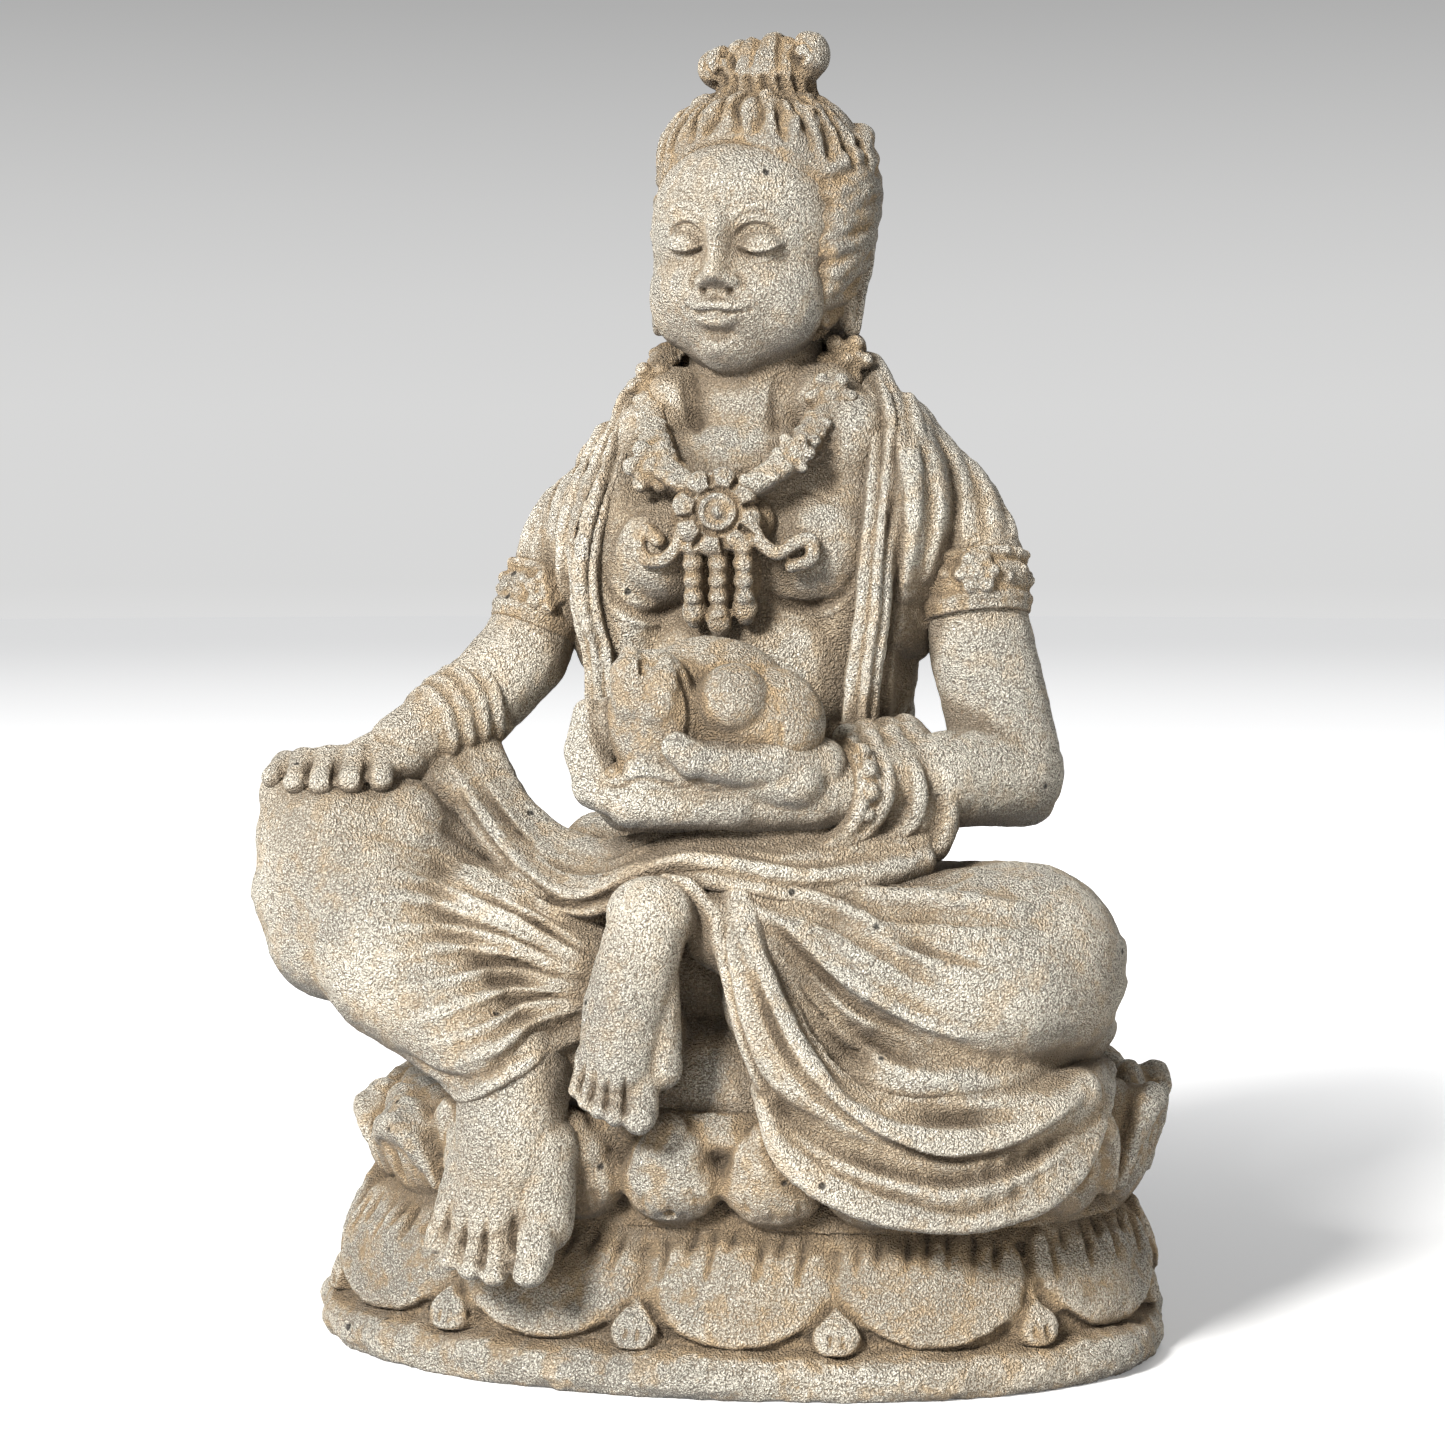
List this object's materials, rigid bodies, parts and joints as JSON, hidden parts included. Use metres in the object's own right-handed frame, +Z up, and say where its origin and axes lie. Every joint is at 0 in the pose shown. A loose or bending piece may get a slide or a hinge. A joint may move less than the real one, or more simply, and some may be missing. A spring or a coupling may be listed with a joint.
{
  "type": "seated devotional statue",
  "caption": "Seated figure in draped robe on a two-tier lotus base, one knee raised, holding a lotus bud, in rough cast stone.",
  "frame": {"origin": "middle of the plinth's underside", "axes": "+Z up, -Y the front of the figure, +X the figure's own left-hand side"},
  "size_m": [0.2878, 0.2108, 0.4198],
  "materials": {
    "base_stone": "rough cast stone, sandy with dark grey speckle, ochre in the hollows",
    "cloth_stone": "rough cast stone, pale on the folds and ochre between them",
    "skin_stone": "rough cast stone, worn pale, grey where it is sheltered",
    "ornament_stone": "rough cast stone, ochre round each bead and petal",
    "hair_stone": "rough cast stone with carved strands",
    "steel": "plain stainless rod, hidden in the stone"
  },
  "bodies": {
    "root": {"plinth": "base_stone", "lower_petals": "base_stone", "upper_petals": "base_stone", "hips": "cloth_stone", "right_leg": "cloth_stone", "left_leg": "cloth_stone", "right_foot": "skin_stone", "left_foot": "skin_stone", "skirt_swag": "cloth_stone", "lap_sash": "cloth_stone", "torso": "cloth_stone", "right_shawl": "cloth_stone", "left_shawl": "cloth_stone", "right_armband": "ornament_stone", "left_armband": "ornament_stone", "right_arm": "skin_stone", "left_upper_arm": "skin_stone", "left_forearm": "skin_stone", "right_cuff": "cloth_stone", "left_cuff": "cloth_stone", "left_bracelet": "ornament_stone", "right_hand": "skin_stone", "left_hand": "skin_stone", "lotus_bud": "ornament_stone", "head": "skin_stone", "hair": "hair_stone", "topknot": "hair_stone", "necklace": "ornament_stone", "pendant": "ornament_stone", "base_rods": "steel", "waist_rod": "steel", "neck_rod": "steel", "arm_pins": "steel", "bud_pin": "steel", "topknot_pin": "steel"}
  },
  "joints": []
}
